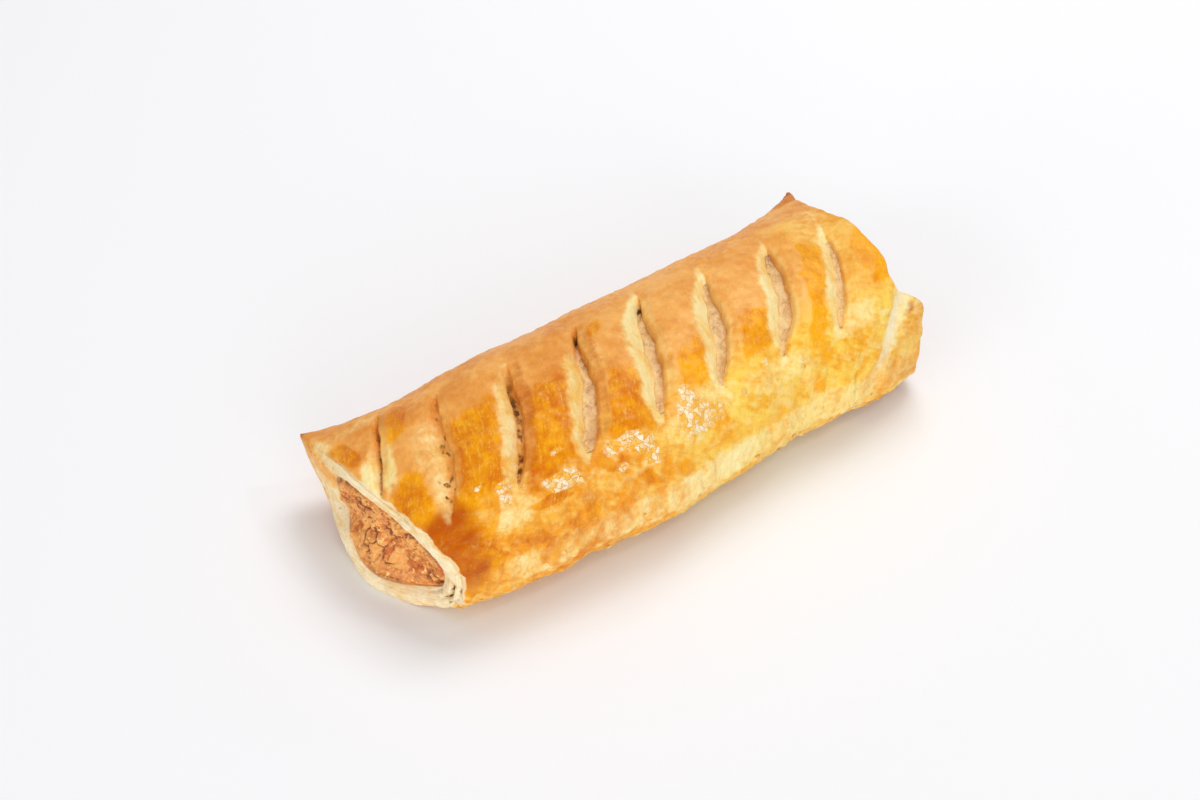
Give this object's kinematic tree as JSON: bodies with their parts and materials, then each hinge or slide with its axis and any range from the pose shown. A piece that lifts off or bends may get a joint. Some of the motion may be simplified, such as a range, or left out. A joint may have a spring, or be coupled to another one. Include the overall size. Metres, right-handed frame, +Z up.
{
  "type": "beef sausage roll",
  "caption": "Baked puff pastry roll with diagonal slashes across its top, pinched corners and a minced beef filling that shows at its open ends and in the slashes.",
  "frame": {"origin": "middle of the roll's outline at the level of its flat base", "axes": "+X along the roll from its low near end to its high far end, -Y towards the slashed front, +Y towards the pinched corners at the back, +Z up"},
  "size_m": [0.1518, 0.0676, 0.04],
  "materials": {
    "crust": "egg-washed puff pastry, golden and half glossy on the strips, pale and matt at the cuts and the flaky edges",
    "mince": "coarse cooked beef mince, moist and half glossy"
  },
  "bodies": {
    "root": {"pastry": "crust", "filling": "mince"}
  },
  "joints": []
}
